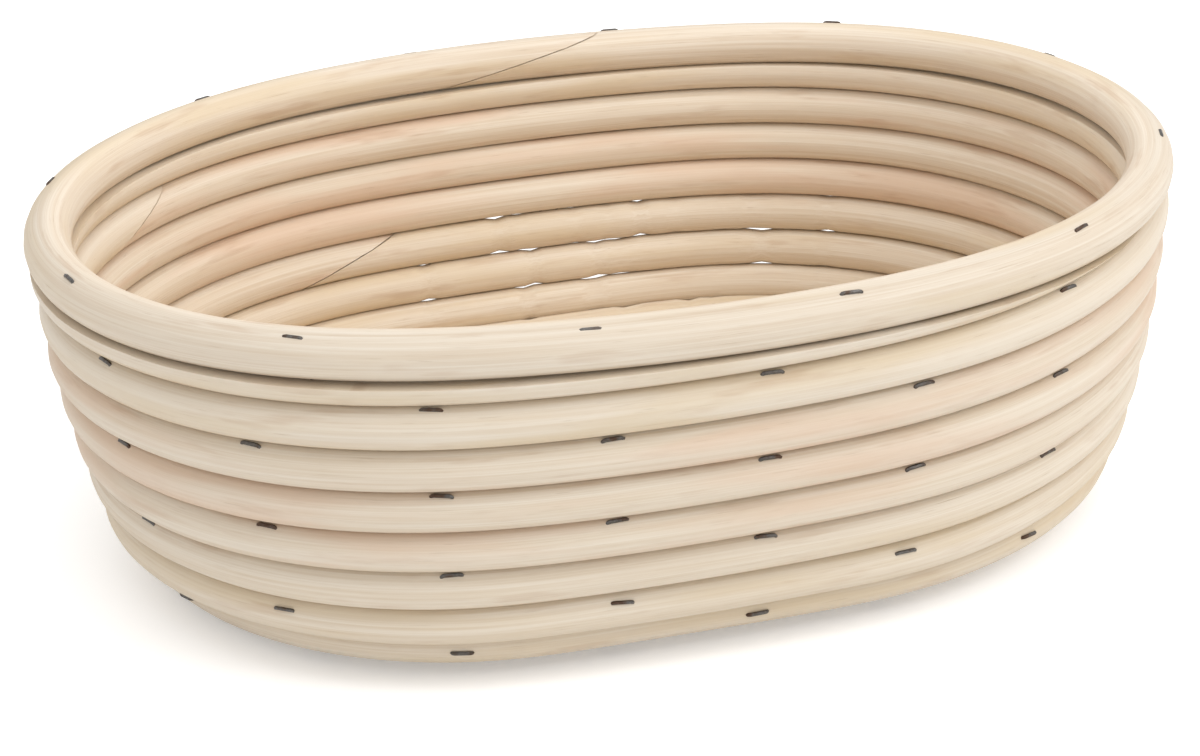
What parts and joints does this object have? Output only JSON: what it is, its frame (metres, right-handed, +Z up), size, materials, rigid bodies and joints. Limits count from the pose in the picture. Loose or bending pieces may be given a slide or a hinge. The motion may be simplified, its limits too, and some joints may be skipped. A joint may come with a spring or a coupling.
{
  "type": "banneton proofing basket",
  "caption": "Oval bread-proofing basket of coiled rattan cane with rounded base, near-upright ribbed wall, stapled rows and a thicker scarf-jointed rim.",
  "frame": {"origin": "centre of the bounding box in plan, on the table plane under the floor", "axes": "+X along the basket's long direction, +Y towards the side with the rim's scarf joint (the back), +Z up out of the open mouth"},
  "size_m": [0.2456, 0.188, 0.079],
  "materials": {
    "coil_cane": "matte",
    "rim_cane": "matte",
    "staple_wire": "satin"
  },
  "bodies": {
    "root": {"core_cane": "coil_cane", "floor_cane": "coil_cane", "edge_cane": "coil_cane", "wall_cane": "coil_cane", "levelling_cane": "coil_cane", "rim_cane": "rim_cane", "core_staples": "staple_wire", "floor_staples": "staple_wire", "edge_staples": "staple_wire", "wall_staples": "staple_wire", "levelling_staples": "staple_wire", "rim_staples": "staple_wire"}
  },
  "joints": []
}
